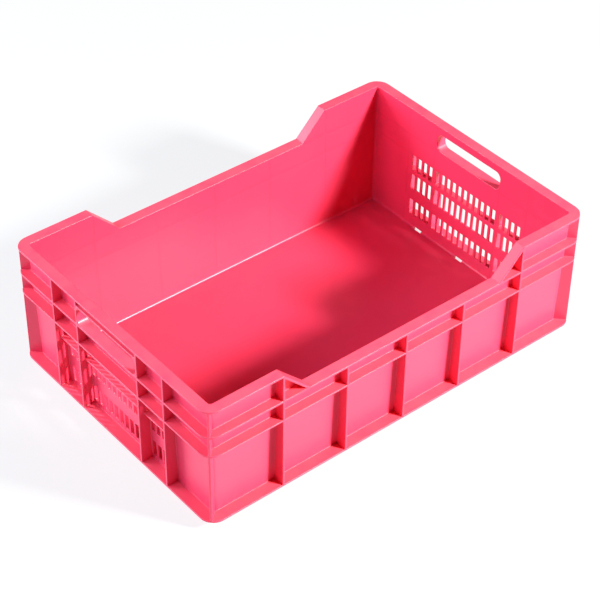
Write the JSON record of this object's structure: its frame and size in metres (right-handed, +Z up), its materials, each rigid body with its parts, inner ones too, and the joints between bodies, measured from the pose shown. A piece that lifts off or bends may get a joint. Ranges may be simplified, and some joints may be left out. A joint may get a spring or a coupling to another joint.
{
  "type": "stacking crate",
  "caption": "Open stacking crate with dropped long sides, slotted end walls, hand-holds, a flat rim and outside flanges and ribs; a recessed foot nests in the rim of the crate below.",
  "frame": {"origin": "centre of the footprint, on the standing face", "axes": "+X along the length, +Y across the width, +Z up"},
  "size_m": [0.6, 0.4, 0.192],
  "materials": {
    "crate_plastic": "semi-gloss moulded polypropylene"
  },
  "bodies": {
    "root": {"floor_panel": "crate_plastic", "foot_ring": "crate_plastic", "floor_ribs": "crate_plastic", "front_wall": "crate_plastic", "rear_wall": "crate_plastic", "front_left_shoulder": "crate_plastic", "front_right_shoulder": "crate_plastic", "rear_left_shoulder": "crate_plastic", "rear_right_shoulder": "crate_plastic", "left_end_panel": "crate_plastic", "right_end_panel": "crate_plastic", "left_handle_frame": "crate_plastic", "right_handle_frame": "crate_plastic", "left_hand_tunnel": "crate_plastic", "right_hand_tunnel": "crate_plastic", "left_end_rim": "crate_plastic", "right_end_rim": "crate_plastic", "front_left_rim": "crate_plastic", "front_right_rim": "crate_plastic", "rear_left_rim": "crate_plastic", "rear_right_rim": "crate_plastic", "front_left_ramp": "crate_plastic", "front_right_ramp": "crate_plastic", "rear_left_ramp": "crate_plastic", "rear_right_ramp": "crate_plastic", "front_upper_belt": "crate_plastic", "rear_upper_belt": "crate_plastic", "left_upper_belt": "crate_plastic", "right_upper_belt": "crate_plastic", "front_lower_belt": "crate_plastic", "rear_lower_belt": "crate_plastic", "left_lower_belt": "crate_plastic", "right_lower_belt": "crate_plastic", "front_base_flange": "crate_plastic", "rear_base_flange": "crate_plastic", "left_base_flange": "crate_plastic", "right_base_flange": "crate_plastic", "front_ribs": "crate_plastic", "rear_ribs": "crate_plastic", "left_end_ribs": "crate_plastic", "right_end_ribs": "crate_plastic", "front_left_fin": "crate_plastic", "front_right_fin": "crate_plastic", "rear_left_fin": "crate_plastic", "rear_right_fin": "crate_plastic", "left_grille_ledges": "crate_plastic", "right_grille_ledges": "crate_plastic"}
  },
  "joints": []
}
